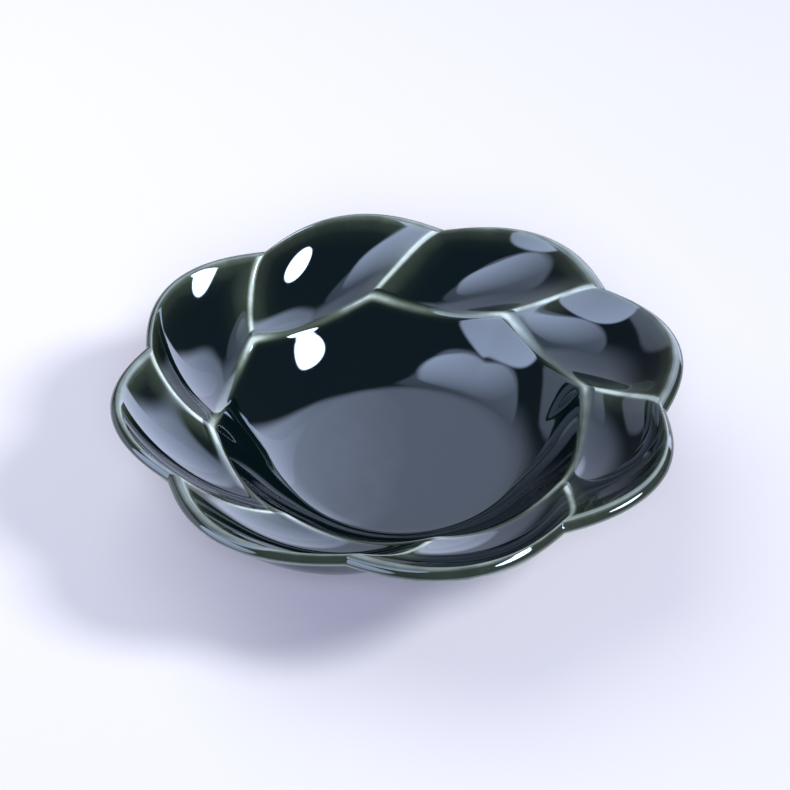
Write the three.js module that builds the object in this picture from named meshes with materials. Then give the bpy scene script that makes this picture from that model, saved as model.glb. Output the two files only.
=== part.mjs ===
// A flower-shaped serving dish in glazed stoneware: a round well inside a crown of eight petals
// that overlap in a spiral, on a turned foot ring. Millimetres, +Z up. The origin is the middle of
// the face that the foot ring stands on, and the +X axis passes through the inner end of a ridge.
import * as THREE from 'three';
import { mergeVertices } from 'three/addons/utils/BufferGeometryUtils.js';

// Petals and their sweep
const PETALS = 8;
const RIDGE_SWEEP = THREE.MathUtils.degToRad(20.5); // turn of a ridge from the brim out to the rim
const SWEEP_EARLY = 0.89; // share of that turn that builds up evenly; the rest comes near the rim
const SWEEP_HOOK = 10; // the higher, the closer to the rim that rest comes
const LOBE_POINT = 1.1; // 1 makes sharp notches between the lobes of the rim; higher opens them
const RIDGE_SOFTNESS = 0.03; // rounding of a ridge, as a share of a petal's width
const GROOVE_SOFTNESS = 0.12; // and of the groove that follows it on the outside
const COLUMN_CROWDING = 0.6; // above 0 the columns of facets crowd towards the ridges

// Foot ring, turned under the well
const FOOT_RADIUS = 41;
const FOOT_WIDTH = 4.5;
const FOOT_RECESS = 4.5; // depth of the base inside the foot ring
const FOOT_CHAMFER = 0.8;
const FOOT_FILLET = 2.5;

// Well
const FLOOR_THICKNESS = 5; // at the edge of the floor, which is faintly dished
const FLOOR_RADIUS = 36;
const FLOOR_SLOPE = THREE.MathUtils.degToRad(4); // at the same edge
const FLOOR_FILLET = 3;
const WELL_SLOPE_LOW = THREE.MathUtils.degToRad(24); // wall of the well, just above its floor
const WELL_SLOPE_HIGH = THREE.MathUtils.degToRad(52); // and just below its brim

// Wall and lip: the wall thins to a neck, and the lip swells out again beyond it
const WALL = 3.8;
const NECK = 2.5;
const NECK_END = 8; // the higher, the closer to the lip that the neck gives way to it
const LIP_HEIGHT = 3.5; // across the lip's rounded face
const LIP_REACH = 0.95; // how far that face stands out
const LIP_TILT = THREE.MathUtils.degToRad(52); // how far it looks up
const BRIM_ROUNDING = 2.4; // how far the brim's rounding reaches to each side of its crest
const WAIST_ROUNDING = 7; // and that of the waist under it, on the outside

// Two key sections, in radius and in rise above the well's floor. One follows a ridge, the other
// runs through the hollow of a petal. Slopes are those of the petal where it leaves the brim and
// where it arrives at the rim, and a reach says how far each slope carries into the petal.
const RIDGE = {
  brimRadius: 59.3, brimRise: 21.0, leaving: THREE.MathUtils.degToRad(17), leavingReach: 10.5,
  rimRadius: 80.6, rimRise: 33.6, arriving: THREE.MathUtils.degToRad(44), arrivingReach: 8,
};
const HOLLOW = {
  brimRadius: 56.8, brimRise: 16.6, leaving: THREE.MathUtils.degToRad(4), leavingReach: 14,
  rimRadius: 88.0, rimRise: 35.3, arriving: THREE.MathUtils.degToRad(57), arrivingReach: 10,
};

// Glaze: it runs off the crests and pools in the hollows, and stops short of the standing face
const GLAZE_ON_CRESTS = 0.2;
const GLAZE_IN_HOLLOWS = 0.55;
const GLAZE_OUTSIDE = 0.35;
const GLAZE_STOP = 1.6; // bare clay left above the standing face

// Fineness of the faceted surface
const COLUMNS_PER_PETAL = 9;
const STEPS = {
  floor: 2, fillet: 2, wall: 3, brim: 2, petal: 6, lip: 4, under: 4, waist: 2, base: 2, foot: 2,
};

const COLUMNS = PETALS * COLUMNS_PER_PETAL;
const BASE_HEIGHT = FOOT_RECESS;
const FLOOR_HEIGHT = FOOT_RECESS + FLOOR_THICKNESS;
const LIP_RISE = Math.hypot(LIP_REACH * Math.sin(LIP_TILT), (LIP_HEIGHT / 2) * Math.cos(LIP_TILT));

// Unit vector of a slope in the plane of a section: x runs outwards, y runs up.
function slopeVector(slope) {
  return new THREE.Vector2(Math.cos(slope), Math.sin(slope));
}

// A point at a distance from another one, along a slope.
function step(from, slope, distance) {
  return from.clone().addScaledVector(slopeVector(slope), distance);
}

// Place across a petal, from 0 on its own ridge to 1 on the next, for one of its columns. The
// columns crowd towards the ridges, where the surface turns sharply.
function columnPlace(column) {
  const share = (column % COLUMNS_PER_PETAL) / COLUMNS_PER_PETAL;
  return share - (COLUMN_CROWDING * Math.sin(2 * Math.PI * share)) / (2 * Math.PI);
}

// How deep a place lies in the hollow of its petal: 0 on the ridges, 1 midway between them.
function hollowness(place, softness) {
  const soften = (value) => Math.hypot(value, softness) - softness;
  return soften(place * (1 - place)) / soften(0.25);
}

// How far a place on the rim stands out in the lobe of its petal: 0 in the notches, 1 at the widest.
function lobe(place) {
  return Math.sin(Math.PI * place) ** LOBE_POINT;
}

// A point of the lip's rounded face, at an angle from where it stands out most.
function lipPoint(centre, angle) {
  const out = step(centre, LIP_TILT, LIP_REACH * Math.cos(angle));
  return step(out, LIP_TILT + Math.PI / 2, (LIP_HEIGHT / 2) * Math.sin(angle));
}

// The angle on the lip where a petal that arrives at a slope runs into it.
function lipStart(arriving) {
  const flatness = (2 * LIP_REACH) / LIP_HEIGHT;
  return Math.PI / 2 + Math.atan(flatness * Math.tan(arriving - LIP_TILT));
}

// The section at one place across a petal, blended from the two key sections: its brim, its lip,
// and the curve of the petal between them, which starts at a distance from the brim's crest.
function blendSection(place, softness, rounding) {
  const depth = hollowness(place, softness);
  const out = lobe(place);
  const blend = (key, share) => THREE.MathUtils.lerp(RIDGE[key], HOLLOW[key], share);
  const brim = new THREE.Vector2(blend('brimRadius', depth), FLOOR_HEIGHT + blend('brimRise', depth));
  const rim = new THREE.Vector2(blend('rimRadius', out), FLOOR_HEIGHT + blend('rimRise', out));
  const leaving = blend('leaving', depth);
  const arriving = blend('arriving', depth);
  const lipCentre = step(rim, -Math.PI / 2, LIP_RISE);
  const petalEnd = lipPoint(lipCentre, lipStart(arriving));
  const petal = new THREE.CubicBezierCurve(
    step(brim, leaving, rounding), step(brim, leaving, blend('leavingReach', depth)),
    step(petalEnd, arriving, -blend('arrivingReach', depth)), petalEnd,
  );
  return { depth, brim, rim, lipCentre, leaving, arriving, petal };
}

// Points along a curve, without its start, each with the thickness of the glaze over it.
function stations(curve, steps, glazeAt) {
  return Array.from({ length: steps }, (_, index) => {
    const share = (index + 1) / steps;
    return { point: curve.getPoint(share), sweep: 0, glaze: glazeAt(share) };
  });
}

// The same points, each with how far it has come on the way from the brim's radius to the rim's.
function swept(points, brimRadius, rimRadius) {
  return points.map((station) => {
    const share = (station.point.x - brimRadius) / (rimRadius - brimRadius);
    return { ...station, sweep: THREE.MathUtils.clamp(share, 0, 1) };
  });
}

// Clay section of the eating side: floor, wall of the well, rounded brim, scoop of the petal.
function eatingSide(place) {
  const { depth, brim, rim, petal } = blendSection(place, RIDGE_SOFTNESS, BRIM_ROUNDING);
  const pooled = (share) => THREE.MathUtils.lerp(GLAZE_ON_CRESTS, GLAZE_IN_HOLLOWS, share);
  const floorEdge = new THREE.Vector2(FLOOR_RADIUS, FLOOR_HEIGHT);
  const floorEnd = step(floorEdge, FLOOR_SLOPE, -FLOOR_FILLET);
  const halfway = floorEnd.x / 2;
  const middle = new THREE.Vector2(0, floorEnd.y - halfway * Math.tan(FLOOR_SLOPE));
  const wallStart = step(floorEdge, WELL_SLOPE_LOW, FLOOR_FILLET);
  const wallEnd = step(brim, WELL_SLOPE_HIGH, -BRIM_ROUNDING);
  const reach = wallStart.distanceTo(wallEnd) / 3;

  const floor = new THREE.QuadraticBezierCurve(middle, new THREE.Vector2(halfway, middle.y), floorEnd);
  const fillet = new THREE.QuadraticBezierCurve(floorEnd, floorEdge, wallStart);
  const wall = new THREE.CubicBezierCurve(
    wallStart, step(wallStart, WELL_SLOPE_LOW, reach), step(wallEnd, WELL_SLOPE_HIGH, -reach), wallEnd,
  );
  const crest = new THREE.QuadraticBezierCurve(wallEnd, brim, petal.v0);
  return swept([
    { point: middle, glaze: GLAZE_IN_HOLLOWS },
    ...stations(floor, STEPS.floor, () => GLAZE_IN_HOLLOWS),
    ...stations(fillet, STEPS.fillet, () => GLAZE_IN_HOLLOWS),
    ...stations(wall, STEPS.wall, (share) => pooled(1 - share ** 2)),
    ...stations(crest, STEPS.brim, () => GLAZE_ON_CRESTS),
    ...stations(petal, STEPS.petal, (share) => pooled(depth * Math.sin(Math.PI * share))),
  ], brim.x, rim.x);
}

// Clay section of the lip and of the underside, which follows the eating side a wall away and meets
// the lower edge of the lip, down to the line on the foot ring where the glaze stops.
function underside(place) {
  const top = blendSection(place, RIDGE_SOFTNESS, BRIM_ROUNDING);
  const under = blendSection(place, GROOVE_SOFTNESS, WAIST_ROUNDING);
  const { brim, rim, lipCentre, leaving, arriving, petal } = under;
  const acrossLip = lipCentre.clone().sub(petal.v3).multiplyScalar(2);
  const outside = (share) => {
    const { x, y } = petal.getTangent(share);
    const acrossWall = new THREE.Vector2(y, -x).multiplyScalar(THREE.MathUtils.lerp(WALL, NECK, share));
    return petal.getPoint(share).add(acrossWall.lerp(acrossLip, share ** NECK_END));
  };
  const waistTop = outside(0);
  const halfTurn = (WELL_SLOPE_HIGH - leaving) / 2;
  const waistCorner = step(brim, leaving + halfTurn - Math.PI / 2, WALL / Math.cos(halfTurn));
  const waistEnd = step(waistCorner, WELL_SLOPE_HIGH, -waistTop.distanceTo(waistCorner));
  const wallRise = (FOOT_RADIUS - FLOOR_RADIUS) * Math.tan(WELL_SLOPE_LOW);
  const footTop = new THREE.Vector2(
    FOOT_RADIUS, FLOOR_HEIGHT + wallRise - WALL / Math.cos(WELL_SLOPE_LOW),
  );
  const baseEnd = step(footTop, WELL_SLOPE_LOW, FOOT_FILLET);
  const footSide = step(footTop, -Math.PI / 2, FOOT_FILLET);
  const reach = waistEnd.distanceTo(baseEnd) / 3;

  const lip = new THREE.EllipseCurve(
    lipCentre.x, lipCentre.y, LIP_REACH, LIP_HEIGHT / 2,
    lipStart(top.arriving), lipStart(arriving) - Math.PI, true, LIP_TILT,
  );
  const waist = new THREE.QuadraticBezierCurve(waistTop, waistCorner, waistEnd);
  const base = new THREE.CubicBezierCurve(
    waistEnd, step(waistEnd, WELL_SLOPE_HIGH, -reach), step(baseEnd, WELL_SLOPE_LOW, reach), baseEnd,
  );
  const foot = new THREE.QuadraticBezierCurve(baseEnd, footTop, footSide);
  const coated = () => GLAZE_OUTSIDE;
  const petalOutside = stations(petal, STEPS.under, coated).map((station, index) => ({
    ...station, point: outside(1 - (index + 1) / STEPS.under),
  }));
  return [
    ...swept(stations(lip, STEPS.lip, () => GLAZE_ON_CRESTS), brim.x, rim.x),
    ...swept(petalOutside, waistCorner.x, rim.x),
    ...swept(stations(waist, STEPS.waist, coated), waistCorner.x, rim.x),
    ...stations(base, STEPS.base, coated),
    ...stations(foot, STEPS.foot, coated),
    { point: new THREE.Vector2(FOOT_RADIUS, GLAZE_STOP), sweep: 0, glaze: GLAZE_OUTSIDE },
  ];
}

// Clay section of the foot ring and of the recess inside it, the same all the way round.
function footAndRecess() {
  const inside = FOOT_RADIUS - FOOT_WIDTH;
  const turned = ([radius, height]) => ({
    point: new THREE.Vector2(radius, height), sweep: 0, glaze: GLAZE_OUTSIDE,
  });
  const bare = [
    [FOOT_RADIUS, FOOT_CHAMFER], [FOOT_RADIUS - FOOT_CHAMFER, 0],
    [inside + FOOT_CHAMFER, 0], [inside, FOOT_CHAMFER],
  ];
  const recess = [
    [inside, GLAZE_STOP], [inside, BASE_HEIGHT - FOOT_CHAMFER],
    [inside - FOOT_CHAMFER, BASE_HEIGHT], [0, BASE_HEIGHT],
  ];
  return { bare: bare.map(turned), recess: recess.map(turned) };
}

// Turn of the columns at a share of the way from the brim to the rim, clockwise from above.
function sweepAngle(share) {
  return RIDGE_SWEEP * (SWEEP_EARLY * share + (1 - SWEEP_EARLY) * share ** SWEEP_HOOK);
}

// Rings round the dish, one for each station of its sections: rings[station][column].
function ringsThrough(sectionAt) {
  const places = Array.from({ length: COLUMNS }, (_, column) => columnPlace(column));
  const sections = places.map(sectionAt);
  return sections[0].map((_, station) => sections.map((section, column) => {
    const { point, sweep, glaze } = section[station];
    const petal = Math.floor(column / COLUMNS_PER_PETAL);
    const turn = (2 * Math.PI * (petal + places[column])) / PETALS + sweepAngle(sweep);
    const position = new THREE.Vector3(point.x * Math.cos(turn), -point.x * Math.sin(turn), point.y);
    return { position, glaze };
  }));
}

// Direction out of the clay at one point of its rings, which start and end on the axis.
function outwards(rings, row, column) {
  if (row === 0) return new THREE.Vector3(0, 0, 1);
  if (row === rings.length - 1) return new THREE.Vector3(0, 0, -1);
  const before = rings[row][(column + COLUMNS - 1) % COLUMNS].position;
  const after = rings[row][(column + 1) % COLUMNS].position;
  const around = after.clone().sub(before);
  const along = rings[row + 1][column].position.clone().sub(rings[row - 1][column].position);
  return around.cross(along).normalize();
}

// The outer face of the glaze over a run of the clay rings: each point moved out by its thickness.
function glazeOver(rings, first, last) {
  const rows = Array.from({ length: last - first + 1 }, (_, index) => first + index);
  return rows.map((row) => rings[row].map(({ position, glaze }, column) => ({
    position: position.clone().addScaledVector(outwards(rings, row, column), glaze),
  })));
}

// Triangles of the sheet that spans a run of rings, facing away from the clay.
function sheet(rings) {
  const triangles = [];
  for (let row = 0; row + 1 < rings.length; row += 1) {
    for (let column = 0; column < COLUMNS; column += 1) {
      const beside = (column + 1) % COLUMNS;
      const near = rings[row][column].position;
      const nearBeside = rings[row][beside].position;
      const far = rings[row + 1][column].position;
      const farBeside = rings[row + 1][beside].position;
      triangles.push([near, farBeside, far], [near, nearBeside, farBeside]);
    }
  }
  return triangles;
}

// The same triangles, facing the other way.
function turnedOver(triangles) {
  return triangles.map(([a, b, c]) => [a, c, b]);
}

// Geometry of a closed set of triangles. Those that shrink to nothing on the axis are dropped.
function solid(triangles) {
  const open = ([a, b, c]) => !a.equals(b) && !b.equals(c) && !c.equals(a);
  const points = triangles.filter(open).flat();
  return mergeVertices(new THREE.BufferGeometry().setFromPoints(points));
}

const coatSection = (place) => [...eatingSide(place), ...underside(place)];
const { bare, recess } = footAndRecess();
const clayRings = ringsThrough((place) => [...coatSection(place), ...bare, ...recess]);
const coatEnd = coatSection(0).length - 1;
const recessStart = clayRings.length - recess.length;

// Fired clay, in one piece from the well to the rim and the foot ring.
function clayBody() {
  const clay = new THREE.MeshStandardMaterial({ color: 0xd8d0c0, roughness: 0.85, metalness: 0 });
  const mesh = new THREE.Mesh(solid(sheet(clayRings)), clay);
  mesh.name = 'clay_body';
  return mesh;
}

// A layer of glaze fused to a run of the clay rings, closed along its cut edge.
function glazeLayer(name, first, last, edgeOf) {
  const glass = new THREE.MeshStandardMaterial({ color: 0x10201a, roughness: 0.08, metalness: 0 });
  const outer = glazeOver(clayRings, first, last);
  const inner = clayRings.slice(first, last + 1);
  const triangles = [...sheet(outer), ...turnedOver(sheet(inner)), ...sheet(edgeOf(outer, inner))];
  const mesh = new THREE.Mesh(solid(triangles), glass);
  mesh.name = name;
  return mesh;
}

const dish = new THREE.Group();
dish.add(
  clayBody(),
  glazeLayer('glaze_coat', 0, coatEnd, (outer, inner) => [outer.at(-1), inner.at(-1)]),
  glazeLayer('base_glaze', recessStart, clayRings.length - 1, (outer, inner) => [inner[0], outer[0]]),
);

export default dish;
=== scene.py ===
"""Flower-shaped dish in dark green glazed stoneware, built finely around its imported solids.

The dish is one fired piece: a round well inside a crown of petals that overlap in a spiral, on a
turned foot ring. Its clay, the glaze fused over it and the patch of glaze inside the foot ring are
separate pieces. All sizes are in metres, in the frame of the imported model: +Z up, the origin in the
middle of the face that the foot ring stands on, +X through the inner end of a ridge.
"""

import logging
import math
from dataclasses import dataclass, field, fields
from enum import Enum
from functools import cached_property
from typing import Any, Callable, Mapping, Sequence, Union

import bmesh
import bpy
from mathutils import Matrix, Vector

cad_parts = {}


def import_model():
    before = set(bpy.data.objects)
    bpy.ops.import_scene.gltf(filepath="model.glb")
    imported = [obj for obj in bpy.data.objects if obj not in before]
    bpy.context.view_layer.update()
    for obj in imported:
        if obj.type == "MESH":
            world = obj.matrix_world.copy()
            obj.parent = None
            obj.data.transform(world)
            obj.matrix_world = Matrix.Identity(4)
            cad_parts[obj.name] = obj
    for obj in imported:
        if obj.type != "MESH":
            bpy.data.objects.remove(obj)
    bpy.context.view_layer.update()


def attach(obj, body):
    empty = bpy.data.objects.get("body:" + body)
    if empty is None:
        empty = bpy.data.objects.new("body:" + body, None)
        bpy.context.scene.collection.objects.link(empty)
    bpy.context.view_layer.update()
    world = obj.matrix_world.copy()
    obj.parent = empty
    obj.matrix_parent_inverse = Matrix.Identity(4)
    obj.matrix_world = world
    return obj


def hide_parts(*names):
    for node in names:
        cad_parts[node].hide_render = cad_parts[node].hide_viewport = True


LOG = logging.getLogger("flower_dish")
MM = 0.001
FULL_TURN = 2 * math.pi
QUARTER_TURN = math.pi / 2
CREST_ATTRIBUTE = "crest"

Colour = tuple[float, float, float, float]
Operand = Union["Value", float]


class Body(Enum):
    """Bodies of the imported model. The dish has no joints, so it has one."""

    DISH = "root"


class Slot(Enum):
    """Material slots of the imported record."""

    CLAY = "fired_clay"
    GLAZE = "green_glaze"


def heading(slope: float) -> Vector:
    """Unit vector of a slope in the plane of a section: x runs outwards, y runs up."""
    return Vector((math.cos(slope), math.sin(slope)))


def step(start: Vector, slope: float, distance: float) -> Vector:
    """A point at a distance from another one, along a slope."""
    return start + heading(slope) * distance


def blended(low: float, high: float, share: float) -> float:
    """A value at a share of the way from one to another."""
    return low + (high - low) * share


def bezier(controls: Sequence[Vector], share: float) -> tuple[Vector, Vector]:
    """Point and direction of a Bezier curve at a share of its run.

    Args:
        controls: the curve's control points, two or more.
        share: how far along the curve, from 0 to 1.

    Returns:
        The point, and the unit vector along the curve there.
    """
    points = list(controls)
    while len(points) > 2:
        points = [a.lerp(b, share) for a, b in zip(points, points[1:])]
    start, end = points
    return start.lerp(end, share), (end - start).normalized()


@dataclass
class Station:
    """One point of a section of the dish.

    Attributes:
        point: radius and height.
        glaze: thickness of the glaze over the point.
        crest: how near the point lies to a crest, where glaze runs thin, with a painted reflection of
            the floor on the lip's lower edge: 1 on it, 0 away from it.
        sweep: how far the point has come on the way from the brim out to the rim, 0 to 1.
    """

    point: Vector
    glaze: float
    crest: float = 0.0
    sweep: float = 0.0


@dataclass(frozen=True)
class KeySection:
    """A drawn section of the crown, in radius and in rise above the floor of the well.

    Slopes are those of the petal where it leaves the brim and where it arrives at the rim, and a
    reach says how far each slope carries into the petal.
    """

    brim_radius: float
    brim_rise: float
    leaving: float
    leaving_reach: float
    rim_radius: float
    rim_rise: float
    arriving: float
    arriving_reach: float

    def towards(self, other: "KeySection", share: float, rim_share: float) -> "KeySection":
        """The section between this one and another.

        Args:
            other: the section at the far end.
            share: how far to go towards it.
            rim_share: the same for the place of the rim alone.

        Returns:
            The blended section.
        """
        values = {}
        for item in fields(self):
            part = rim_share if item.name.startswith("rim_") else share
            values[item.name] = blended(getattr(self, item.name), getattr(other, item.name), part)
        return KeySection(**values)


@dataclass(frozen=True)
class Foot:
    """Sizes of the turned foot ring."""

    radius: float = 41 * MM
    width: float = 4.5 * MM
    recess: float = 4.5 * MM
    chamfer: float = 0.8 * MM
    fillet: float = 2.5 * MM


@dataclass(frozen=True)
class Well:
    """Sizes of the well: a faintly dished floor and a wall that steepens up to the brim."""

    thickness: float = 5 * MM
    radius: float = 36 * MM
    floor_slope: float = math.radians(4)
    fillet: float = 3 * MM
    slope_low: float = math.radians(24)
    slope_high: float = math.radians(52)


@dataclass(frozen=True)
class Wall:
    """Thicknesses of the crown and the rounding of its edges."""

    thickness: float = 3.8 * MM
    neck: float = 2.5 * MM
    neck_end: int = 8
    lip_height: float = 3.5 * MM
    lip_reach: float = 0.95 * MM
    lip_tilt: float = math.radians(52)
    brim_rounding: float = 2.4 * MM
    waist_rounding: float = 7 * MM

    @property
    def lip_rise(self) -> float:
        """Height of the lip's top above its centre."""
        tilt = self.lip_tilt
        return math.hypot(self.lip_height / 2 * math.cos(tilt), self.lip_reach * math.sin(tilt))

    def lip_point(self, centre: Vector, angle: float) -> Vector:
        """A point of the lip's rounded face, at an angle from where it stands out most."""
        out = step(centre, self.lip_tilt, self.lip_reach * math.cos(angle))
        return step(out, self.lip_tilt + QUARTER_TURN, self.lip_height / 2 * math.sin(angle))

    def lip_start(self, arriving: float) -> float:
        """Angle on the lip where a petal that arrives at a slope runs into it."""
        flatness = 2 * self.lip_reach / self.lip_height
        return QUARTER_TURN + math.atan(flatness * math.tan(arriving - self.lip_tilt))


@dataclass(frozen=True)
class Coat:
    """Thicknesses of the glaze, and how it breaks pale where it runs off the crests; the pale lower
    edge of the lip is thin glaze with a painted reflection of the floor.

    Attributes:
        on_crests: thickness on the brim, the ridges and the lip.
        in_hollows: thickness where the glaze pools.
        outside: thickness on the outside and inside the foot ring.
        stop: height above the table where the glaze stops on the foot ring.
        core: half width of the palest line of a crest.
        ridge_halo: distance from a ridge at which its pale line has faded.
        brim_halo: the same for the brim.
        brim_break: how thin the glaze runs on the brim between two ridges.
        rim_break: how thin it runs on the line inside the lip.
        rim_halo: distance from that line at which it has faded, on its inner side.
        rim_line: where that line lies, as an angle on the lip.
        face_break: how thin the glaze runs on the face of the lip.
        edge_break_and_painted_reflection: how pale the lip's lower edge is painted, for thin glaze
            there and for a painted reflection of the floor.
        edge_line: where that edge lies, as an angle on the lip.
        line_halo: distance at which either line of the lip fades into its face.
        scoop_break: how thin the glaze runs in a scoop, beside its ridges and its lip.
        scoop_halo: distance from them at which the glaze is whole again.
    """

    on_crests: float = 0.2 * MM
    in_hollows: float = 0.55 * MM
    outside: float = 0.35 * MM
    stop: float = 1.6 * MM
    core: float = 0.15 * MM
    ridge_halo: float = 2.0 * MM
    brim_halo: float = 3.3 * MM
    brim_break: float = 0.6
    rim_break: float = 0.7
    rim_halo: float = 4.2 * MM
    rim_line: float = math.radians(45)
    face_break: float = 0.38
    # Pale lower edge of the lip: thin glaze, and a painted reflection of the floor.
    edge_break_and_painted_reflection: float = 0.8
    edge_line: float = math.radians(-80)
    line_halo: float = 1.0 * MM
    scoop_break: float = 0.44
    scoop_halo: float = 11 * MM

    def thinned(self, distance: float, halo: float) -> float:
        """How thin the glaze runs at a distance from a crest: 1 on its core, 0 past its halo."""
        share = min(max((halo - distance) / (halo - self.core), 0.0), 1.0)
        return share * share * (3 - 2 * share)

    def ridge_crest(self, distance: float) -> float:
        """How thin the glaze runs at a distance from a ridge."""
        return self.thinned(distance, self.ridge_halo)

    def brim_crest(self, distance: float) -> float:
        """How thin the glaze runs at a distance from the brim of the well."""
        return self.thinned(distance, self.brim_halo)

    def lip_crest(self, distance: float) -> float:
        """How thin the glaze runs inside the lip, at a distance from the line where it breaks."""
        return self.rim_break * self.thinned(distance, self.rim_halo)

    def lip_face(self, from_line: float, from_edge: float) -> float:
        """How pale the face of the lip is: thin glaze, and on its lower edge a painted reflection of
        the floor.

        Args:
            from_line: distance from the line inside the lip.
            from_edge: distance from the lip's lower edge.

        Returns:
            The thinness, with the painted reflection on the lower edge, from 0 to 1.
        """
        line = self.rim_break * self.thinned(from_line, self.line_halo)
        # Painted reflection of the floor on the lip's lower edge, over thin glaze there.
        edge = self.edge_break_and_painted_reflection * self.thinned(from_edge, self.line_halo)
        return max(line, edge, self.face_break)

    def scoop_crest(self, distance: float) -> float:
        """How thin the glaze runs in a scoop, at a distance from the nearest ridge or lip."""
        return self.scoop_break * self.thinned(distance, self.scoop_halo)

    def pooled(self, share: float) -> float:
        """Thickness of the glaze on its way from the crests, 0, down into the hollows, 1."""
        return blended(self.on_crests, self.in_hollows, share)


@dataclass(frozen=True)
class Fineness:
    """Counts of facets: columns across a petal, and steps along each stretch of a section."""

    columns: int = 40
    floor: int = 6
    fillet: int = 6
    wall: int = 16
    brim: int = 8
    petal: int = 34
    lip: int = 12
    under: int = 18
    waist: int = 8
    base: int = 10
    foot: int = 6


@dataclass(frozen=True)
class Crown:
    """Sizes of the petals and of the spiral in which they overlap.

    Attributes:
        petals: how many there are.
        ridge_sweep: turn of a ridge on its way from the brim to the rim.
        sweep_early: share of that turn that grows evenly on the way.
        sweep_hook: power by which the rest of it comes late, near the rim.
        lobe_point: power that narrows the lobes of the rim a little.
        ridge_softness: rounding of the ridges, as a share of a petal's width.
        groove_softness: the same for the grooves under them.
        column_crowding: how closely the columns of facets crowd towards the ridges, 0 to 1.
        ridge: section along a ridge.
        hollow: section midway between two ridges.
    """

    petals: int = 8
    ridge_sweep: float = math.radians(20.5)
    sweep_early: float = 0.89
    sweep_hook: int = 10
    lobe_point: float = 1.1
    ridge_softness: float = 0.03
    groove_softness: float = 0.12
    column_crowding: float = 0.6
    ridge: KeySection = KeySection(
        59.3 * MM, 21.0 * MM, math.radians(17), 10.5 * MM,
        80.6 * MM, 33.6 * MM, math.radians(44), 8 * MM,
    )
    hollow: KeySection = KeySection(
        56.8 * MM, 16.6 * MM, math.radians(4), 14 * MM,
        88.0 * MM, 35.3 * MM, math.radians(57), 10 * MM,
    )

    def sweep_angle(self, share: float) -> float:
        """Turn of the petals at a share of the way from the brim to the rim, clockwise from above."""
        early = self.sweep_early
        return self.ridge_sweep * (early * share + (1 - early) * share**self.sweep_hook)

    def sweep_rate(self, share: float) -> float:
        """How fast that turn grows with the share."""
        late = (1 - self.sweep_early) * self.sweep_hook * share ** (self.sweep_hook - 1)
        return self.ridge_sweep * (self.sweep_early + late)

    def hollowness(self, place: float, softness: float) -> float:
        """How deep a place lies in the hollow of its petal.

        Args:
            place: 0 on the petal's own ridge, 1 on the next.
            softness: rounding of the ridges, as a share of a petal's width.

        Returns:
            0 on the ridges, 1 midway between them.
        """
        midway = 0.5

        def soften(value: float) -> float:
            """The value with its foot at 0 rounded off."""
            return math.hypot(value, softness) - softness

        return soften(place * (1 - place)) / soften(midway * (1 - midway))

    def lobe(self, place: float) -> float:
        """How far a place on the rim stands out in its lobe: 0 in the notches, 1 at the widest."""
        return math.sin(math.pi * place) ** self.lobe_point

    def column_place(self, share: float) -> float:
        """Place across a petal of a column. The columns crowd towards the ridges."""
        return share - self.column_crowding * math.sin(FULL_TURN * share) / FULL_TURN


@dataclass(frozen=True)
class PetalCurve:
    """The crown's section at one place across a petal."""

    depth: float
    key: KeySection
    brim: Vector
    rim: Vector
    lip_centre: Vector
    petal: tuple[Vector, Vector, Vector, Vector]


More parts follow.
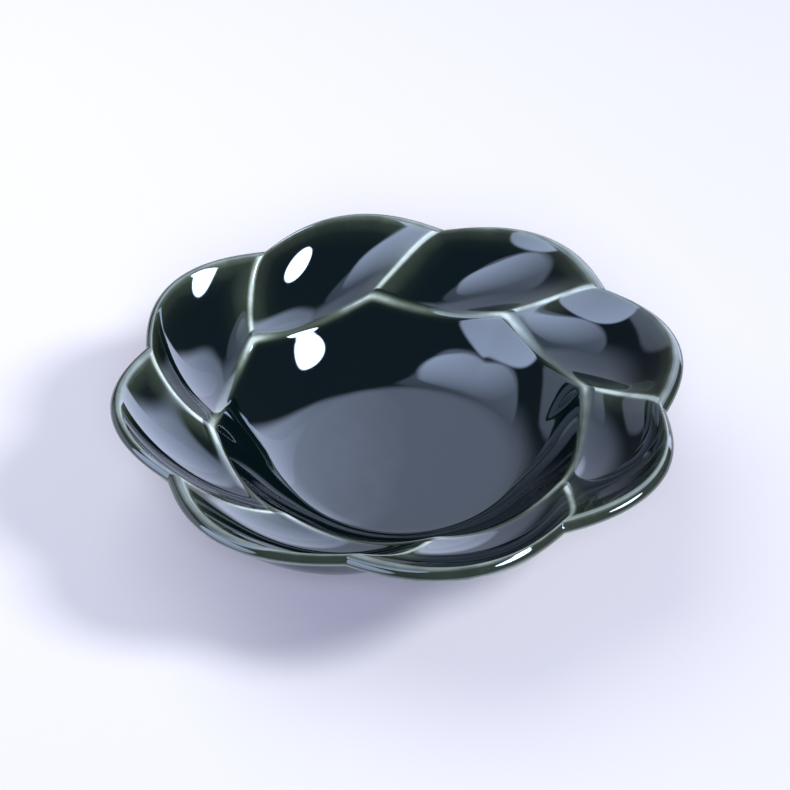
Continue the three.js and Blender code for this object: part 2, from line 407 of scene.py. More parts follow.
@dataclass(frozen=True)
class DishForm:
    """The whole surface of the dish, as rings of points round its axis."""

    foot: Foot = Foot()
    well: Well = Well()
    wall: Wall = Wall()
    coat: Coat = Coat()
    crown: Crown = Crown()
    fineness: Fineness = Fineness()

    @property
    def floor_height(self) -> float:
        """Height of the clay at the edge of the well's floor."""
        return self.foot.recess + self.well.thickness

    @property
    def columns(self) -> int:
        """Columns of facets all the way round."""
        return self.crown.petals * self.fineness.columns

    def curve(self, place: float, softness: float, rounding: float) -> PetalCurve:
        """The section at one place across a petal, blended from the two drawn ones.

        Args:
            place: 0 on the petal's own ridge, 1 on the next.
            softness: rounding of the ridges, as a share of a petal's width.
            rounding: how far from the brim's crest the petal starts.

        Returns:
            The brim, the rim and the curve of the petal between them.
        """
        crown = self.crown
        depth = crown.hollowness(place, softness)
        key = crown.ridge.towards(crown.hollow, depth, crown.lobe(place))
        wall = self.wall
        brim = Vector((key.brim_radius, self.floor_height + key.brim_rise))
        rim = Vector((key.rim_radius, self.floor_height + key.rim_rise))
        lip_centre = step(rim, -QUARTER_TURN, wall.lip_rise)
        end = wall.lip_point(lip_centre, wall.lip_start(key.arriving))
        petal = (
            step(brim, key.leaving, rounding),
            step(brim, key.leaving, key.leaving_reach),
            step(end, key.arriving, -key.arriving_reach),
            end,
        )
        return PetalCurve(depth, key, brim, rim, lip_centre, petal)

    def along(
        self,
        controls: Sequence[Vector],
        steps: int,
        glaze: Callable[[float], float],
    ) -> list[Station]:
        """Stations along a Bezier curve, without its start.

        Args:
            controls: the curve's control points.
            steps: how many stations.
            glaze: thickness of the glaze at a share of the curve.

        Returns:
            The stations, in order.
        """
        shares = [(index + 1) / steps for index in range(steps)]
        return [Station(bezier(controls, share)[0], glaze(share)) for share in shares]

    def sweep(self, stations: list[Station], brim_radius: float, rim_radius: float) -> list[Station]:
        """Marks how far each station has come on the way from the brim to the rim.

        Args:
            stations: the stations to mark.
            brim_radius: radius where the way starts.
            rim_radius: radius where it ends.

        Returns:
            The same stations.
        """
        for station in stations:
            share = (station.point.x - brim_radius) / (rim_radius - brim_radius)
            station.sweep = min(max(share, 0.0), 1.0)
        return stations

    def eating_side(self, place: float) -> list[Station]:
        """Clay section of the floor, the wall of the well, the rounded brim and the petal's scoop.

        Args:
            place: place across a petal, from 0 on its own ridge to 1 on the next.

        Returns:
            Stations from the axis out to the lip.
        """
        well, coat, count = self.well, self.coat, self.fineness
        rounding = self.wall.brim_rounding
        curve = self.curve(place, self.crown.ridge_softness, rounding)
        edge = Vector((well.radius, self.floor_height))
        floor_end = step(edge, well.floor_slope, -well.fillet)
        middle = Vector((0.0, floor_end.y - floor_end.x / 2 * math.tan(well.floor_slope)))
        wall_start = step(edge, well.slope_low, well.fillet)
        wall_end = step(curve.brim, well.slope_high, -rounding)
        reach = (wall_end - wall_start).length / 3

        floor = (middle, Vector((floor_end.x / 2, middle.y)), floor_end)
        fillet = (floor_end, edge, wall_start)
        wall = (
            wall_start,
            step(wall_start, well.slope_low, reach),
            step(wall_end, well.slope_high, -reach),
            wall_end,
        )
        brim = (wall_end, curve.brim, curve.petal[0])
        inside = [
            Station(middle, coat.in_hollows),
            *self.along(floor, count.floor, lambda share: coat.in_hollows),
            *self.along(fillet, count.fillet, lambda share: coat.in_hollows),
            *self.along(wall, count.wall, lambda share: coat.pooled(1 - share**2)),
            *self.along(brim, count.brim, lambda share: coat.on_crests),
        ]

        def in_scoop(share: float) -> float:
            """Thickness of the glaze at a share of the petal. It pools midway."""
            return coat.pooled(curve.depth * math.sin(math.pi * share))

        scoop = self.along(curve.petal, count.petal, in_scoop)
        self.mark_crests(inside, scoop, place, curve)
        return self.sweep(inside + scoop, curve.brim.x, curve.rim.x)

    def mark_crests(
        self, inside: list[Station], scoop: list[Station], place: float, curve: PetalCurve
    ) -> None:
        """Marks how near the stations of the eating side lie to the brim, a ridge or the lip.

        Args:
            inside: stations of the well, up to the brim.
            scoop: stations of the petal.
            place: their place across the petal.
            curve: the section that they follow.
        """
        coat, crown = self.coat, self.crown
        span = curve.rim.x - curve.brim.x
        turn = min(place, 1 - place) * FULL_TURN / crown.petals
        at_brim = blended(1.0, coat.brim_break, curve.depth)
        rim_line = self.wall.lip_point(curve.lip_centre, coat.rim_line)
        for station in inside:
            station.crest = at_brim * coat.brim_crest((station.point - curve.brim).length)
        for station in scoop:
            radius = station.point.x
            share = min(max((radius - curve.brim.x) / span, 0.0), 1.0)
            lean = radius * crown.sweep_rate(share) / span
            from_ridge = turn * radius / math.hypot(1, lean)
            from_rim = (station.point - rim_line).length
            station.crest = max(
                at_brim * coat.brim_crest((station.point - curve.brim).length),
                coat.ridge_crest(from_ridge),
                coat.lip_crest(from_rim),
                coat.scoop_crest(min(from_ridge, from_rim)),
            )

    def underside(self, place: float) -> list[Station]:
        """Clay section of the lip and the outside, which follows the eating side a wall away.

        Args:
            place: place across a petal, from 0 on its own ridge to 1 on the next.

        Returns:
            Stations from the lip down to the line on the foot ring where the glaze stops.
        """
        well, foot, coat, count = self.well, self.foot, self.coat, self.fineness
        shape, thickness = self.wall, self.wall.thickness
        top = self.curve(place, self.crown.ridge_softness, self.wall.brim_rounding)
        curve = self.curve(place, self.crown.groove_softness, self.wall.waist_rounding)
        leaving = curve.key.leaving

        lip_start = shape.lip_start(top.key.arriving)
        lip_end = shape.lip_start(curve.key.arriving) - math.pi
        rim_line = shape.lip_point(curve.lip_centre, coat.rim_line)
        # Lower edge of the lip, where a reflection of the floor is painted pale.
        edge_line = shape.lip_point(curve.lip_centre, coat.edge_line)
        lip = []
        for index in range(count.lip):
            angle = blended(lip_start, lip_end, (index + 1) / count.lip)
            station = Station(shape.lip_point(curve.lip_centre, angle), coat.on_crests)
            from_line = (station.point - rim_line).length
            if angle > coat.rim_line:
                station.crest = coat.lip_crest(from_line)
            else:
                # The face of the lip, with a painted reflection of the floor on its lower edge.
                station.crest = coat.lip_face(from_line, (station.point - edge_line).length)
            lip.append(station)
        across_lip = (curve.lip_centre - curve.petal[-1]) * 2

        def outside(share: float) -> Vector:
            """Point of the outside across the wall from a share of the petal."""
            point, along = bezier(curve.petal, share)
            across = Vector((along.y, -along.x)) * blended(thickness, shape.neck, share)
            return point + across.lerp(across_lip, share**shape.neck_end)

        waist_top = outside(0)
        half_turn = (well.slope_high - leaving) / 2
        corner = step(curve.brim, leaving + half_turn - QUARTER_TURN, thickness / math.cos(half_turn))
        waist_end = step(corner, well.slope_high, -(waist_top - corner).length)
        wall_rise = (foot.radius - well.radius) * math.tan(well.slope_low)
        foot_top = Vector(
            (foot.radius, self.floor_height + wall_rise - thickness / math.cos(well.slope_low))
        )
        base_end = step(foot_top, well.slope_low, foot.fillet)
        reach = (waist_end - base_end).length / 3

        shares = [1 - (index + 1) / count.under for index in range(count.under)]
        petal = [Station(outside(share), coat.outside) for share in shares]
        waist = (waist_top, corner, waist_end)
        base = (
            waist_end,
            step(waist_end, well.slope_high, -reach),
            step(base_end, well.slope_low, reach),
            base_end,
        )
        foot_side = (base_end, foot_top, step(foot_top, -QUARTER_TURN, foot.fillet))

        def coated(share: float) -> float:
            """Thickness of the glaze on the outside, the same all over."""
            return coat.outside

        crown = petal + self.along(waist, count.waist, coated)
        return [
            *self.sweep(lip, curve.brim.x, curve.rim.x),
            *self.sweep(crown, corner.x, curve.rim.x),
            *self.along(base, count.base, coated),
            *self.along(foot_side, count.foot, coated),
            Station(Vector((foot.radius, coat.stop)), coat.outside),
        ]

    def bare_foot(self) -> list[Station]:
        """Clay section of the bare standing face of the foot ring, with its chamfers.

        Returns:
            Stations from the outside of the ring to its inside.
        """
        foot = self.foot
        inside = foot.radius - foot.width
        outline = (
            (foot.radius, foot.chamfer), (foot.radius - foot.chamfer, 0.0),
            (inside + foot.chamfer, 0.0), (inside, foot.chamfer),
        )
        return [Station(Vector(corner), 0.0) for corner in outline]

    def recess(self) -> list[Station]:
        """Clay section of the recess inside the foot ring.

        Returns:
            Stations from the line where its glaze stops, in to the axis.
        """
        foot = self.foot
        inside = foot.radius - foot.width
        outline = (
            (inside, self.coat.stop), (inside, foot.recess - foot.chamfer),
            (inside - foot.chamfer, foot.recess), (0.0, foot.recess),
        )
        return [Station(Vector(corner), self.coat.outside) for corner in outline]

    def rings_of(self, section: Callable[[float], list[Station]]) -> "Rings":
        """Rings round the dish through the stations of its sections.

        Args:
            section: gives the stations at a place across a petal.

        Returns:
            The rings, from the first station to the last.
        """
        count = self.fineness.columns
        places = [self.crown.column_place(column / count) for column in range(count)]
        return Rings(self, places, [section(place) for place in places])

    @cached_property
    def coated(self) -> "Rings":
        """Rings of the clay that carries the main coat, from the middle of the floor to the foot."""
        return self.rings_of(lambda place: self.eating_side(place) + self.underside(place))

    @cached_property
    def footing(self) -> "Rings":
        """Rings of the bare standing face."""
        return self.rings_of(lambda place: self.bare_foot())

    @cached_property
    def recessed(self) -> "Rings":
        """Rings of the recess inside the foot ring."""
        return self.rings_of(lambda place: self.recess())


@dataclass(frozen=True)
class RingPoint:
    """A point of a mesh of rings, and how near it lies to a crest."""

    place: Vector
    crest: float


@dataclass(frozen=True)
class Rings:
    """A run of rings round the dish, which repeat from petal to petal."""

    form: DishForm
    places: list[float]
    sections: list[list[Station]]

    def __len__(self) -> int:
        """How many rings there are."""
        return len(self.sections[0])

    def at(self, ring: int, column: int) -> Vector:
        """Point of the clay on a ring.

        Args:
            ring: the ring's number.
            column: the column's number, counted round the whole dish.

        Returns:
            The point, in the frame of the dish.
        """
        crown = self.form.crown
        petal, within = divmod(column, len(self.places))
        station = self.sections[within][ring]
        turn = FULL_TURN * (petal + self.places[within]) / crown.petals
        turn += crown.sweep_angle(station.sweep)
        radius, height = station.point
        return Vector((radius * math.cos(turn), -radius * math.sin(turn), height))

    def outwards(self, ring: int, column: int) -> Vector:
        """Unit vector out of the clay at a point of the rings.

        Args:
            ring: the ring's number.
            column: the column's number, counted round the whole dish.

        Returns:
            The vector: straight up or down on the axis.
        """
        last = len(self) - 1
        if self.sections[0][ring].point.x == 0:
            return Vector((0, 0, 1 if ring == 0 else -1))
        around = self.at(ring, column + 1) - self.at(ring, column - 1)
        along = self.at(min(ring + 1, last), column) - self.at(max(ring - 1, 0), column)
        return around.cross(along).normalized()

    def clay(self, ring: int, column: int) -> RingPoint:
        """A point on the face of the clay."""
        station = self.sections[column % len(self.places)][ring]
        return RingPoint(self.at(ring, column), station.crest)

    def glazed(self, ring: int, column: int) -> RingPoint:
        """A point on the face of the glaze, out from the clay by the glaze's thickness there.

        Args:
            ring: the ring's number.
            column: the column's number, counted round the whole dish.

        Returns:
            The point.
        """
        station = self.sections[column % len(self.places)][ring]
        place = self.at(ring, column) + self.outwards(ring, column) * station.glaze
        return RingPoint(place, station.crest)


RingFace = Callable[[int], RingPoint]


def object_of(name: str, mesh: bmesh.types.BMesh) -> bpy.types.Object:
    """Makes a finished mesh an object of the scene, at the origin.

    Args:
        name: the object's name.
        mesh: the mesh, which is freed.

    Returns:
        The object.
    """
    data = bpy.data.meshes.new(name)
    mesh.to_mesh(data)
    mesh.free()
    made = bpy.data.objects.new(name, data)
    bpy.context.scene.collection.objects.link(made)
    return made


@dataclass
class SpunPiece:
    """A closed piece made by spinning a line of stations and lifting it into the form of the dish."""

    name: str
    columns: int
    merge_distance: float = 0.001 * MM

    def build(self, faces: Sequence[RingFace]) -> bpy.types.Object:
        """Spins the line, lifts each of its rings into place and closes the ends on the axis.

        Args:
            faces: for each ring, in order along the section, the function from a column to a point.

        Returns:
            The finished object, smooth shaded, at the origin.
        """
        mesh = bmesh.new()
        crest = mesh.verts.layers.float.new(CREST_ATTRIBUTE)
        line = [mesh.verts.new((ring + 1, 0, 0)) for ring in range(len(faces))]
        edges = [mesh.edges.new(pair) for pair in zip(line, line[1:])]
        bmesh.ops.spin(
            mesh, geom=line + edges, cent=(0, 0, 0), axis=(0, 0, 1), angle=FULL_TURN,
            steps=self.columns, use_merge=True, use_duplicate=False,
        )
        for vertex in mesh.verts:
            ring = round(vertex.co.length) - 1
            turn = math.atan2(vertex.co.y, vertex.co.x) / FULL_TURN
            point = faces[ring](round(turn * self.columns) % self.columns)
            vertex.co = point.place
            vertex[crest] = point.crest
        bmesh.ops.remove_doubles(mesh, verts=mesh.verts, dist=self.merge_distance)
        bmesh.ops.recalc_face_normals(mesh, faces=mesh.faces)
        for face in mesh.faces:
            face.smooth = True
        return object_of(self.name, mesh)


class Value:
    """A socket of a node tree that takes part in Python expressions on numbers."""

    def __init__(self, graph: "Graph", socket: bpy.types.NodeSocket) -> None:
        """Wraps a socket of a graph."""
        self.graph = graph
        self.socket = socket

    def maths(self, operation: str, *operands: Operand) -> "Value":
        """A Math node on some operands, in order."""
        node = self.graph.node("ShaderNodeMath", {"operation": operation}, dict(enumerate(operands)))
        return Value(self.graph, node.outputs[0])

    def __add__(self, other: Operand) -> "Value":
        """Sum."""
        return self.maths("ADD", self, other)

    __radd__ = __add__

    def __sub__(self, other: Operand) -> "Value":
        """Difference."""
        return self.maths("SUBTRACT", self, other)

    def __rsub__(self, other: Operand) -> "Value":
        """Difference from a number."""
        return self.maths("SUBTRACT", other, self)

    def __mul__(self, other: Operand) -> "Value":
        """Product."""
        return self.maths("MULTIPLY", self, other)

    __rmul__ = __mul__

    def __truediv__(self, other: Operand) -> "Value":
        """Quotient."""
        return self.maths("DIVIDE", self, other)

    def __rtruediv__(self, other: Operand) -> "Value":
        """Quotient of a number."""
        return self.maths("DIVIDE", other, self)

    def __pow__(self, other: Operand) -> "Value":
        """Power."""
        return self.maths("POWER", self, other)

    def __rpow__(self, other: Operand) -> "Value":
        """Power of a number."""
        return self.maths("POWER", other, self)

    def __abs__(self) -> "Value":
        """Size without sign."""
        return self.maths("ABSOLUTE", self)

    def larger(self, other: Operand) -> "Value":
        """The larger of two values."""
        return self.maths("MAXIMUM", self, other)

    def eased(self, low: float, high: float) -> "Value":
        """A smooth rise from 0 to 1.

        Args:
            low: value of the socket where the rise starts.
            high: value of the socket where it ends.

        Returns:
            The risen value.
        """
        node = self.graph.node(
            "ShaderNodeMapRange",
            {"interpolation_type": "SMOOTHSTEP"},
            {"Value": self, "From Min": low, "From Max": high},
        )
        return Value(self.graph, node.outputs["Result"])


class Graph:
    """A node tree that is built from expressions and from one general method for nodes."""

    def __init__(self, tree: bpy.types.NodeTree) -> None:
        """Starts an empty tree."""
        self.tree = tree
        tree.nodes.clear()

    def node(
        self,
        kind: str,
        settings: Mapping[str, Any] | None = None,
        inputs: Mapping[str | int, Any] | None = None,
    ) -> bpy.types.Node:
        """Adds a node.

        Args:
            kind: the node's type.
            settings: its properties, set first. "stops" gives the places and colours of a ramp.
            inputs: values or links of its sockets, by name or by number.

        Returns:
            The node.
        """
        node = self.tree.nodes.new(kind)
        for name, value in (settings or {}).items():
            if name == "stops":
                self.set_stops(node.color_ramp, value)
            else:
                setattr(node, name, value)
        for name, value in (inputs or {}).items():
            socket = node.inputs[name]
            if isinstance(value, Value):
                self.tree.links.new(value.socket, socket)
            elif isinstance(value, bpy.types.NodeSocket):
                self.tree.links.new(value, socket)
            else:
                socket.default_value = value
        return node

    @staticmethod
    def set_stops(ramp: bpy.types.ColorRamp, stops: Sequence[tuple[float, Colour]]) -> None:
        """Gives a colour ramp its stops.

        Args:
            ramp: the ramp.
            stops: places along the ramp and their colours, in order.
        """
        while len(ramp.elements) < len(stops):
            ramp.elements.new(1.0)
        for element, (place, colour) in zip(ramp.elements, stops):
            element.position = place
            element.color = colour

    def value(self, kind: str, output: str, **settings: Any) -> Value:
        """An output of a node that has no inputs to set."""
        return Value(self, self.node(kind, settings).outputs[output])

    def noise(self, where: bpy.types.NodeSocket, scale: float, detail: float = 2.0) -> Value:
        """Noise between 0 and 1, with a number of waves to the metre."""
        inputs = {"Vector": where, "Scale": scale, "Detail": detail}
        return Value(self, self.node("ShaderNodeTexNoise", None, inputs).outputs["Fac"])


@dataclass(frozen=True)
class GlazeFinish:
    """Deep green glass that is near black where it is thick and breaks pale over the crests, with a
    painted reflection of the floor on the lip's lower edge.
    """

    name: str = "green_glaze"
    stops: tuple[tuple[float, Colour], ...] = (
        (0.0, (0.0004, 0.0030, 0.0034, 1)),
        (0.2, (0.0030, 0.0068, 0.0050, 1)),
        (0.4, (0.0180, 0.0250, 0.0165, 1)),
        (0.6, (0.0520, 0.0690, 0.0490, 1)),
        (0.8, (0.1400, 0.1780, 0.1420, 1)),
        (1.0, (0.3900, 0.4700, 0.4200, 1)),
    )
    drift_scale: float = 90
    drift_detail: float = 3
    drift_share: float = 0.7
    speck_colour: Colour = (0.30, 0.26, 0.19, 1)
    specks_per_metre: float = 55
    speck_size: float = 0.035
    speck_core: float = 0.6
    speck_share: float = 0.93
    speck_fade: float = 0.01
    roughness: float = 0.03
    crest_roughness: float = 0.05
    ior: float = 1.8
    sheen: Colour = (0.73, 0.893, 1.0, 1)
    wave_scale: float = 70
    wave_detail: float = 1
    wave_depth: float = 0.05 * MM

    def material(self) -> bpy.types.Material:
        """Builds the finish.

        Returns:
            The material.
        """
        material = bpy.data.materials.new(self.name)
        material.use_nodes = True
        graph = Graph(material.node_tree)
        where = graph.node("ShaderNodeTexCoord").outputs["Object"]
        crest = graph.value("ShaderNodeAttribute", "Fac", attribute_name=CREST_ATTRIBUTE)
        drift = graph.noise(where, self.drift_scale, self.drift_detail) - 0.5
        # The crest value also carries the painted reflection of the floor on the lip's lower edge.
        thin = crest + crest * drift * self.drift_share
        ramp = graph.node("ShaderNodeValToRGB", {"stops": self.stops}, {"Fac": thin})
        cells = graph.node(
            "ShaderNodeTexVoronoi", {"feature": "F1"}, {"Vector": where, "Scale": self.specks_per_metre}
        )
        chance = graph.node("ShaderNodeSeparateColor", None, {"Color": cells.outputs["Color"]})
        core = self.speck_size * self.speck_core
        near = 1 - Value(graph, cells.outputs["Distance"]).eased(core, self.speck_size)
        always = self.speck_share + self.speck_fade
        rare = Value(graph, chance.outputs["Red"]).eased(self.speck_share, always)
        colour = graph.node(
            "ShaderNodeMix",
            {"data_type": "RGBA"},
            {0: near * rare, 6: ramp.outputs["Color"], 7: self.speck_colour},
        )
        waves = graph.noise(where, self.wave_scale, self.wave_detail)
        bump = graph.node(
            "ShaderNodeBump", None, {"Strength": 1.0, "Distance": self.wave_depth, "Height": waves}
        )
        roughness = self.roughness + crest * (self.crest_roughness - self.roughness)
        shader = graph.node(
            "ShaderNodeBsdfPrincipled",
            None,
            {
                "Base Color": colour.outputs[2],
                "Roughness": roughness,
                "IOR": self.ior,
                "Specular Tint": self.sheen,
                "Normal": bump.outputs["Normal"],
            },
        )
        graph.node("ShaderNodeOutputMaterial", None, {"Surface": shader.outputs["BSDF"]})
        return material


@dataclass(frozen=True)
class ClayFinish:
    """Bare fired stoneware: matte, warm pale grey, with fine iron specks and a grain of grog."""

    name: str = "fired_clay"
    pale: Colour = (0.56, 0.50, 0.41, 1)
    toasted: Colour = (0.40, 0.32, 0.23, 1)
    iron: Colour = (0.09, 0.06, 0.04, 1)
    toast_scale: float = 110
    toast_detail: float = 4
    toast_range: tuple[float, float] = (0.38, 0.68)
    iron_scale: float = 1400
    iron_detail: float = 1
    iron_range: tuple[float, float] = (0.70, 0.76)
    roughness: float = 0.85
    grain_scale: float = 2200
    grain_detail: float = 3
    grain_strength: float = 0.6
    grain_depth: float = 0.08 * MM

    def material(self) -> bpy.types.Material:
        """Builds the finish.

        Returns:
            The material.
        """
        material = bpy.data.materials.new(self.name)
        material.use_nodes = True
        graph = Graph(material.node_tree)
        where = graph.node("ShaderNodeTexCoord").outputs["Object"]
        toast = graph.noise(where, self.toast_scale, self.toast_detail).eased(*self.toast_range)
        body = graph.node(
            "ShaderNodeMix", {"data_type": "RGBA"}, {0: toast, 6: self.pale, 7: self.toasted}
        )
        specks = graph.noise(where, self.iron_scale, self.iron_detail).eased(*self.iron_range)
        colour = graph.node(
            "ShaderNodeMix", {"data_type": "RGBA"}, {0: specks, 6: body.outputs[2], 7: self.iron}
        )
        grain = graph.noise(where, self.grain_scale, self.grain_detail)
        bump = graph.node(
            "ShaderNodeBump",
            None,
            {"Strength": self.grain_strength, "Distance": self.grain_depth, "Height": grain},
        )
        shader = graph.node(
            "ShaderNodeBsdfPrincipled",
            None,
            {
                "Base Color": colour.outputs[2],
                "Roughness": self.roughness,
                "Normal": bump.outputs["Normal"],
            },
        )
        graph.node("ShaderNodeOutputMaterial", None, {"Surface": shader.outputs["BSDF"]})
        return material


@dataclass
class FlowerDish:
    """The dish: its clay, the coat of glaze fused over it, and the glazed patch under its base."""

    form: DishForm = field(default_factory=DishForm)
    glaze: GlazeFinish = GlazeFinish()
    clay: ClayFinish = ClayFinish()

    def faces(self, rings: Rings, glazed: bool) -> list[RingFace]:
        """The points of a run of rings, one function from a column to a point for each ring.

        Args:
            rings: the run.
            glazed: whether to give the face of the glaze, and not that of the clay.

        Returns:
            The functions, from the first ring to the last.
        """
        point = rings.glazed if glazed else rings.clay

        def face(ring: int) -> RingFace:
            """Points of one ring."""
            return lambda column: point(ring, column)

        return [face(ring) for ring in range(len(rings))]

    def spun(self, name: str, faces: Sequence[RingFace]) -> bpy.types.Object:
        """Spins a piece of the dish."""
        return SpunPiece(name, self.form.columns).build(faces)

    def build_clay(self) -> bpy.types.Object:
        """The fired clay, in one piece from the well to the rim and the foot ring."""
        runs = (self.form.coated, self.form.footing, self.form.recessed)
        return self.spun("stoneware", [face for run in runs for face in self.faces(run, False)])

    def build_coat(self) -> bpy.types.Object:
        """The main coat of glaze, a closed layer over the clay down to its stop on the foot ring."""
        outer = self.faces(self.form.coated, True)
        inner = self.faces(self.form.coated, False)
        return self.spun("dark_green_coat", outer + inner[::-1])

    def build_patch(self) -> bpy.types.Object:
        """The patch of glaze inside the foot ring."""
        outer = self.faces(self.form.recessed, True)
        inner = self.faces(self.form.recessed, False)
        return self.spun("base_patch", inner[::-1] + outer)

    def dress(self) -> None:
        """Builds the pieces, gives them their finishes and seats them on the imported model."""
        glaze = self.glaze.material()
        clay = self.clay.material()
        pieces = (
            (self.build_clay(), clay, Slot.CLAY, "clay_body"),
            (self.build_coat(), glaze, Slot.GLAZE, "glaze_coat"),
            (self.build_patch(), glaze, Slot.GLAZE, "base_glaze"),
        )
        for piece, material, slot, node in pieces:
            piece.data.materials.append(material)
            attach(piece, Body.DISH.value)
            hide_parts(node)
            LOG.info("%s stands for %s: %d faces", piece.name, node, len(piece.data.polygons))


@dataclass(frozen=True)
class SoftPanel:
    """A soft studio panel, far away, as it is seen from the dish.

    Attributes:
        azimuth: its bearing, clockwise from straight behind the dish, in degrees.
        elevation: its height above the table, in degrees.
        width: its width, as a share of its distance.
        height: its height, as a share of its distance.
        radiance: how bright it is.
        softness: reach of its soft edge to each side, as a share of its half width.
        roll: its turn about the line of sight, in degrees.
        fade_across: how much brighter it gets across its half width, as a share.
        fade_up: how much brighter it gets over its half height, as a share.
        squareness: 2 makes it an ellipse, and more squares its corners.
    """

    azimuth: float
    elevation: float
    width: float
    height: float
    radiance: float
    softness: float = 0.06
    roll: float = 0.0
    fade_across: float = 0.0
    fade_up: float = 0.0
    squareness: float = 2.6


@dataclass(frozen=True)
class Lamp:
    """A round soft lamp that faces the dish.

    Attributes:
        name: its name.
        azimuth: its bearing, clockwise from straight behind the dish, in degrees.
        elevation: its height above the table, in degrees.
        distance: how far it hangs from the dish.
        size: its diameter.
        share: what it adds to the brightness of the open floor, for red, green and blue.
    """

    name: str
    azimuth: float
    elevation: float
    distance: float
    size: float
    share: tuple[float, float, float]

    def energy(self, albedo: float) -> float:
        """Energy at which an open floor of an albedo shows the lamp's share.

        Args:
            albedo: how much of the light the floor throws back.

        Returns:
            The energy in watts.
        """
        reach = self.distance**2 + (self.size / 2) ** 2
        rise = math.sin(math.radians(self.elevation))
        return math.pi**2 * reach / rise / albedo


@dataclass(frozen=True)
class Studio:
    """The pale floor, the lamps and soft panels round it and the camera.

    Bearings and distances are those of the view: it looks along +Y of its own frame, which is turned
    against the frame of the dish by view_turn. The camera's focal length is given in pixels of the
    photograph, which is square, and its sensor in millimetres.
    """

    view_turn: float = math.radians(9.62)
    eye_height: float = 10.05 * MM
    elevation: float = math.radians(39.6)
    distance: float = 622.0 * MM
    target: tuple[float, float] = (-1.8 * MM, 30.68 * MM)
    focal_pixels: float = 1863.05
    photo_pixels: int = 790
    sensor: float = 36.0
    near_clip: float = 10 * MM

    floor_size: float = 8.0
    floor_colour: Colour = (0.53, 0.53, 0.53, 1)
    floor_roughness: float = 0.7

    lamps: tuple[Lamp, ...] = (
        Lamp("key", 101, 42, 3.0, 0.8, (0.345, 0.345, 0.35)),
        Lamp("back_fill", -54, 56, 0.71, 0.88, (0.285, 0.285, 0.295)),
        Lamp("front_fill", 179, 37, 5.0, 2.7, (0.3, 0.308, 0.42)),
    )
    room_share: tuple[float, float, float] = (0.016, 0.022, 0.055)
    ambient: float = 0.077
    fill_colour: Colour = (0.97, 0.99, 1.27, 1)
    backdrop: Colour = (0.93, 0.94, 0.985, 1)
    grazing: float = 0.05
    panels: tuple[SoftPanel, ...] = (
        SoftPanel(106, 41, 0.46, 0.32, 21, softness=0.05, roll=-8, squareness=2),
        SoftPanel(-116, 20, 1.0, 0.82, 3.1, softness=0.06, fade_across=0.2, fade_up=0.2),
        SoftPanel(-84, 62, 0.78, 0.81, 2.1, softness=0.08, fade_across=-0.85, fade_up=0.2),
        SoftPanel(-71, 63, 1.13, 0.85, 0.87, softness=0.06, roll=-6, fade_across=-0.5, fade_up=-0.2),
        SoftPanel(-2, 31, 1.84, 0.88, 0.95, softness=0.45, roll=40, fade_across=0.22, fade_up=0.4),
        SoftPanel(25, 33, 0.73, 1.07, 2.3, softness=0.2, fade_across=0.15, fade_up=-0.35),
        SoftPanel(35, 9, 0.41, 2.03, 3.5, softness=0.09, roll=-20, fade_up=-0.5),
        SoftPanel(-87, 5, 1.96, 0.54, 0.98, softness=0.1, roll=-11, fade_across=-0.5),
    )

    def framed(self, place: Vector) -> Vector:
        """A place in the frame of the dish, from one in the frame of the view."""
        return Matrix.Rotation(-self.view_turn, 3, "Z") @ place

    def bearing(self, azimuth: float, elevation: float) -> Vector:
        """Direction from the dish in the frame of the dish.

        Args:
            azimuth: bearing, clockwise from straight behind the dish, in degrees.
            elevation: height above the table, in degrees.

        Returns:
            The unit vector.
        """
        turn, rise = math.radians(azimuth), math.radians(elevation)
        flat = math.cos(rise)
        return self.framed(Vector((flat * math.sin(turn), flat * math.cos(turn), math.sin(rise))))

    def build_floor(self) -> None:
        """Lays a plain pale floor under the foot ring."""
        mesh = bmesh.new()
        bmesh.ops.create_grid(mesh, x_segments=1, y_segments=1, size=self.floor_size / 2)
        floor = object_of("floor", mesh)
        material = bpy.data.materials.new("pale_floor")
        material.use_nodes = True
        shader = material.node_tree.nodes["Principled BSDF"]
        shader.inputs["Base Color"].default_value = self.floor_colour
        shader.inputs["Roughness"].default_value = self.floor_roughness
        shader.inputs["Specular IOR Level"].default_value = 0.0
        floor.data.materials.append(material)
        LOG.info("floor laid")

    def panel_glow(self, graph: Graph, sight: bpy.types.NodeSocket, panel: SoftPanel) -> Value:
        """Radiance of a panel along a line of sight.

        Args:
            graph: the graph of the surroundings.
            sight: the line of sight.
            panel: the panel.

        Returns:
            The radiance, 0 outside the panel.
        """
        ahead = self.bearing(panel.azimuth, panel.elevation)
        across = ahead.cross(Vector((0, 0, 1))).normalized()
        across.rotate(Matrix.Rotation(math.radians(panel.roll), 3, ahead))
        upwards = across.cross(ahead)

        def along(axis: Vector) -> Value:
            """Component of the line of sight along an axis."""
            node = graph.node(
                "ShaderNodeVectorMath", {"operation": "DOT_PRODUCT"}, {0: sight, 1: tuple(axis)}
            )
            return Value(graph, node.outputs["Value"])

        depth = along(ahead)
        in_front = depth.eased(0.0, self.grazing)
        depth = depth.larger(self.grazing)
        sideways = along(across) / (depth * (panel.width / 2))
        rise = along(upwards) / (depth * (panel.height / 2))
        power = panel.squareness
        reach = (abs(sideways) ** power + abs(rise) ** power) ** (1 / power)
        glow = in_front * panel.radiance * (1 - reach.eased(1 - panel.softness, 1 + panel.softness))
        return glow * (1 + sideways * panel.fade_across) * (1 + rise * panel.fade_up)

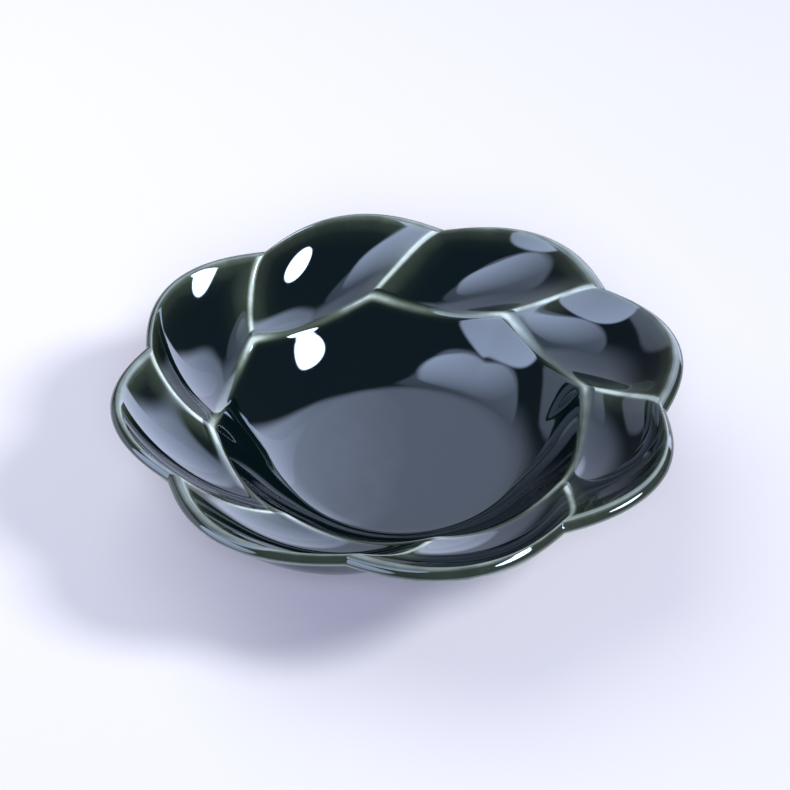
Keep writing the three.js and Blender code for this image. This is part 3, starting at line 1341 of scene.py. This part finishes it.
    def light_surroundings(self) -> None:
        """Surrounds the dish with soft panels, and shows the camera a plain pale backdrop."""
        world = bpy.data.worlds.new("studio")
        world.use_nodes = True
        world.cycles.sampling_method = "NONE"
        bpy.context.scene.world = world
        graph = Graph(world.node_tree)
        sight = graph.node("ShaderNodeTexCoord").outputs["Generated"]
        glow = None
        for panel in self.panels:
            part = self.panel_glow(graph, sight, panel)
            glow = part if glow is None else glow.larger(part)
        path = graph.node("ShaderNodeLightPath")
        mirrored = graph.node(
            "ShaderNodeBackground", None, {"Color": self.fill_colour, "Strength": glow + self.ambient}
        ).outputs["Background"]
        room = [share / albedo for share, albedo in zip(self.room_share, self.floor_colour)]
        dome = graph.node("ShaderNodeBackground", None, {"Color": (*room, 1)})
        backdrop = graph.node("ShaderNodeBackground", None, {"Color": self.backdrop})
        shown = mirrored
        for ray, light in (("Is Diffuse Ray", dome), ("Is Camera Ray", backdrop)):
            inputs = {0: path.outputs[ray], 1: shown, 2: light.outputs["Background"]}
            shown = graph.node("ShaderNodeMixShader", None, inputs).outputs["Shader"]
        graph.node("ShaderNodeOutputWorld", None, {"Surface": shown})
        LOG.info("%d soft panels set round the dish", len(self.panels))

    def hang_lamps(self) -> None:
        """Hangs the lamps round the dish. Their mirror images are among the panels."""
        for lamp in self.lamps:
            light = bpy.data.lights.new(lamp.name, "AREA")
            light.shape = "DISK"
            light.size = lamp.size
            light.color = lamp.share
            light.energy = lamp.energy(self.floor_colour[0])
            hung = bpy.data.objects.new(lamp.name, light)
            direction = self.bearing(lamp.azimuth, lamp.elevation)
            hung.location = direction * lamp.distance
            hung.rotation_euler = direction.to_track_quat("Z", "Y").to_euler()
            hung.visible_camera = False
            hung.visible_glossy = False
            bpy.context.scene.collection.objects.link(hung)
        LOG.info("%d lamps hung", len(self.lamps))

    def set_camera(self) -> None:
        """Sets the camera where the photograph was taken from."""
        back = Vector((0, -math.cos(self.elevation), math.sin(self.elevation)))
        target = Vector((*self.target, self.eye_height))
        data = bpy.data.cameras.new("camera")
        data.sensor_width = self.sensor
        data.lens = self.sensor * (self.focal_pixels / self.photo_pixels)
        data.clip_start = self.near_clip
        camera = bpy.data.objects.new("camera", data)
        camera.location = self.framed(target + back * self.distance)
        camera.rotation_euler = self.framed(back).to_track_quat("Z", "Y").to_euler()
        bpy.context.scene.collection.objects.link(camera)
        bpy.context.scene.camera = camera
        bpy.context.scene.view_settings.view_transform = "Standard"
        LOG.info("camera set")

    def build(self) -> None:
        """Lays the floor and sets the lights and the camera."""
        self.build_floor()
        self.light_surroundings()
        self.hang_lamps()
        self.set_camera()


def main() -> None:
    """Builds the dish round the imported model, then the studio."""
    logging.basicConfig(level=logging.INFO, format="%(name)s: %(message)s")
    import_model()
    FlowerDish().dress()
    Studio().build()


if __name__ == "__main__":
    main()
